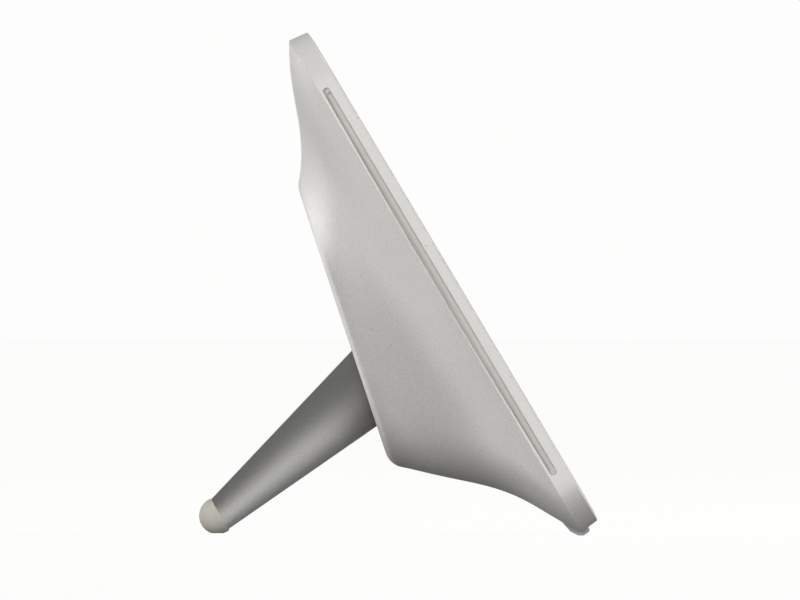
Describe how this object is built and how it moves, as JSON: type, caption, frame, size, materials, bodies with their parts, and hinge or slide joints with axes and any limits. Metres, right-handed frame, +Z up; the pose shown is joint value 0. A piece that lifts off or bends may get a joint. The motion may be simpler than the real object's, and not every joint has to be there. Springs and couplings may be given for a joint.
{
  "type": "digital photo frame",
  "caption": "Landscape digital photo frame with a flared rear shell, leaning back on a pull-out swivelling cone leg with a rubber foot.",
  "frame": {"origin": "on the table, under the middle of the object's box: centred left to right and front to back", "axes": "+X to the right as the picture is looked at, +Y from the picture towards the leg, +Z up; the picture leans back 30.75 degrees"},
  "size_m": [0.236, 0.1331, 0.1672],
  "materials": {
    "bezel_plastic": "satin, pearl paint",
    "strip_plastic": "matte moulded",
    "window": "clear polished",
    "mat_card": "fine-textured card",
    "display_glass": "dark polished display glass",
    "plain_steel": "plated sheet steel",
    "white_plastic": "moulded",
    "flex": "polyimide film",
    "dark_plastic": "moulded",
    "screw_steel": "bright plated",
    "plated_brass": "turned and plated",
    "circuit_board": "solder mask over glass fibre",
    "bare_aluminium": "extruded",
    "can_aluminium": "drawn can",
    "bay_plastic": "moulded, darker than the cover",
    "cover_plastic": "satin, pearl paint with a fine fleck",
    "label": "blank foil label",
    "foot_rubber": "translucent grey rubber",
    "key_plastic": "satin moulded keys",
    "leg_metal": "satin metal",
    "cap_rubber": "matte grey-beige rubber"
  },
  "bodies": {
    "head": {"front_bezel": "bezel_plastic", "side_strip_left": "strip_plastic", "side_strip_right": "strip_plastic", "front_window": "window", "picture_mat": "mat_card", "lcd_panel": "display_glass", "lcd_frame": "plain_steel", "backlight_unit": "white_plastic", "lcd_rear_tray": "plain_steel", "lcd_ribbon": "flex", "ribbon_connector": "dark_plastic", "chassis_plate": "plain_steel", "chassis_screws": "screw_steel", "board_standoffs": "plated_brass", "main_board": "circuit_board", "board_screws": "screw_steel", "processor": "dark_plastic", "heat_spreader": "bare_aluminium", "memory_chips": "dark_plastic", "power_coils": "dark_plastic", "capacitors": "can_aluminium", "battery_holder": "dark_plastic", "clock_battery": "screw_steel", "card_reader": "plain_steel", "usb_host_port": "plain_steel", "usb_mini_port": "plain_steel", "dc_jack": "dark_plastic", "connector_bay": "bay_plastic", "rear_cover": "cover_plastic", "cover_posts": "plated_brass", "cover_screws": "screw_steel", "rating_label": "label", "front_foot_left": "foot_rubber", "front_foot_right": "foot_rubber", "tact_switches": "dark_plastic", "button_board": "circuit_board", "button_screws": "screw_steel", "button_ribbon": "flex", "swivel_washer": "white_plastic"},
    "turntable": {"turntable": "bay_plastic", "swivel_clip": "plain_steel"},
    "leg": {"leg_tube": "leg_metal", "leg_plug": "dark_plastic", "snap_ring": "plain_steel", "cap_insert": "white_plastic", "foot_cap": "cap_rubber"},
    "power_key": {"power_button": "key_plastic"},
    "up_key": {"up_button": "key_plastic"},
    "left_key": {"left_button": "key_plastic"},
    "ok_key": {"ok_button": "key_plastic"},
    "right_key": {"right_button": "key_plastic"},
    "down_key": {"down_button": "key_plastic"},
    "menu_key": {"menu_button": "key_plastic"},
    "back_key": {"back_button": "key_plastic"}
  },
  "joints": [
    {"name": "leg_swivel", "type": "hinge", "parent": "head", "child": "turntable", "pos_m": [0, 0.00701, 0.05172], "axis": [0, 0.8594, -0.5113], "range_deg": [0, 90]},
    {"name": "leg_pull_out", "type": "slide", "parent": "turntable", "child": "leg", "axis": [0, 0.8594, -0.5113], "range_m": [0, 0.012]},
    {"name": "power_press", "type": "slide", "parent": "head", "child": "power_key", "axis": [0, -0.9495, 0.3138], "range_m": [0, 0.0005], "stiffness_N_per_m": 400},
    {"name": "up_press", "type": "slide", "parent": "head", "child": "up_key", "axis": [0, -0.9495, 0.3138], "range_m": [0, 0.0005], "stiffness_N_per_m": 400},
    {"name": "left_press", "type": "slide", "parent": "head", "child": "left_key", "axis": [0, -0.9495, 0.3138], "range_m": [0, 0.0005], "stiffness_N_per_m": 400},
    {"name": "ok_press", "type": "slide", "parent": "head", "child": "ok_key", "axis": [0, -0.9495, 0.3138], "range_m": [0, 0.0005], "stiffness_N_per_m": 400},
    {"name": "right_press", "type": "slide", "parent": "head", "child": "right_key", "axis": [0, -0.9495, 0.3138], "range_m": [0, 0.0005], "stiffness_N_per_m": 400},
    {"name": "down_press", "type": "slide", "parent": "head", "child": "down_key", "axis": [0, -0.9495, 0.3138], "range_m": [0, 0.0005], "stiffness_N_per_m": 400},
    {"name": "menu_press", "type": "slide", "parent": "head", "child": "menu_key", "axis": [0, -0.9495, 0.3138], "range_m": [0, 0.0005], "stiffness_N_per_m": 400},
    {"name": "back_press", "type": "slide", "parent": "head", "child": "back_key", "axis": [0, -0.9495, 0.3138], "range_m": [0, 0.0005], "stiffness_N_per_m": 400}
  ]
}
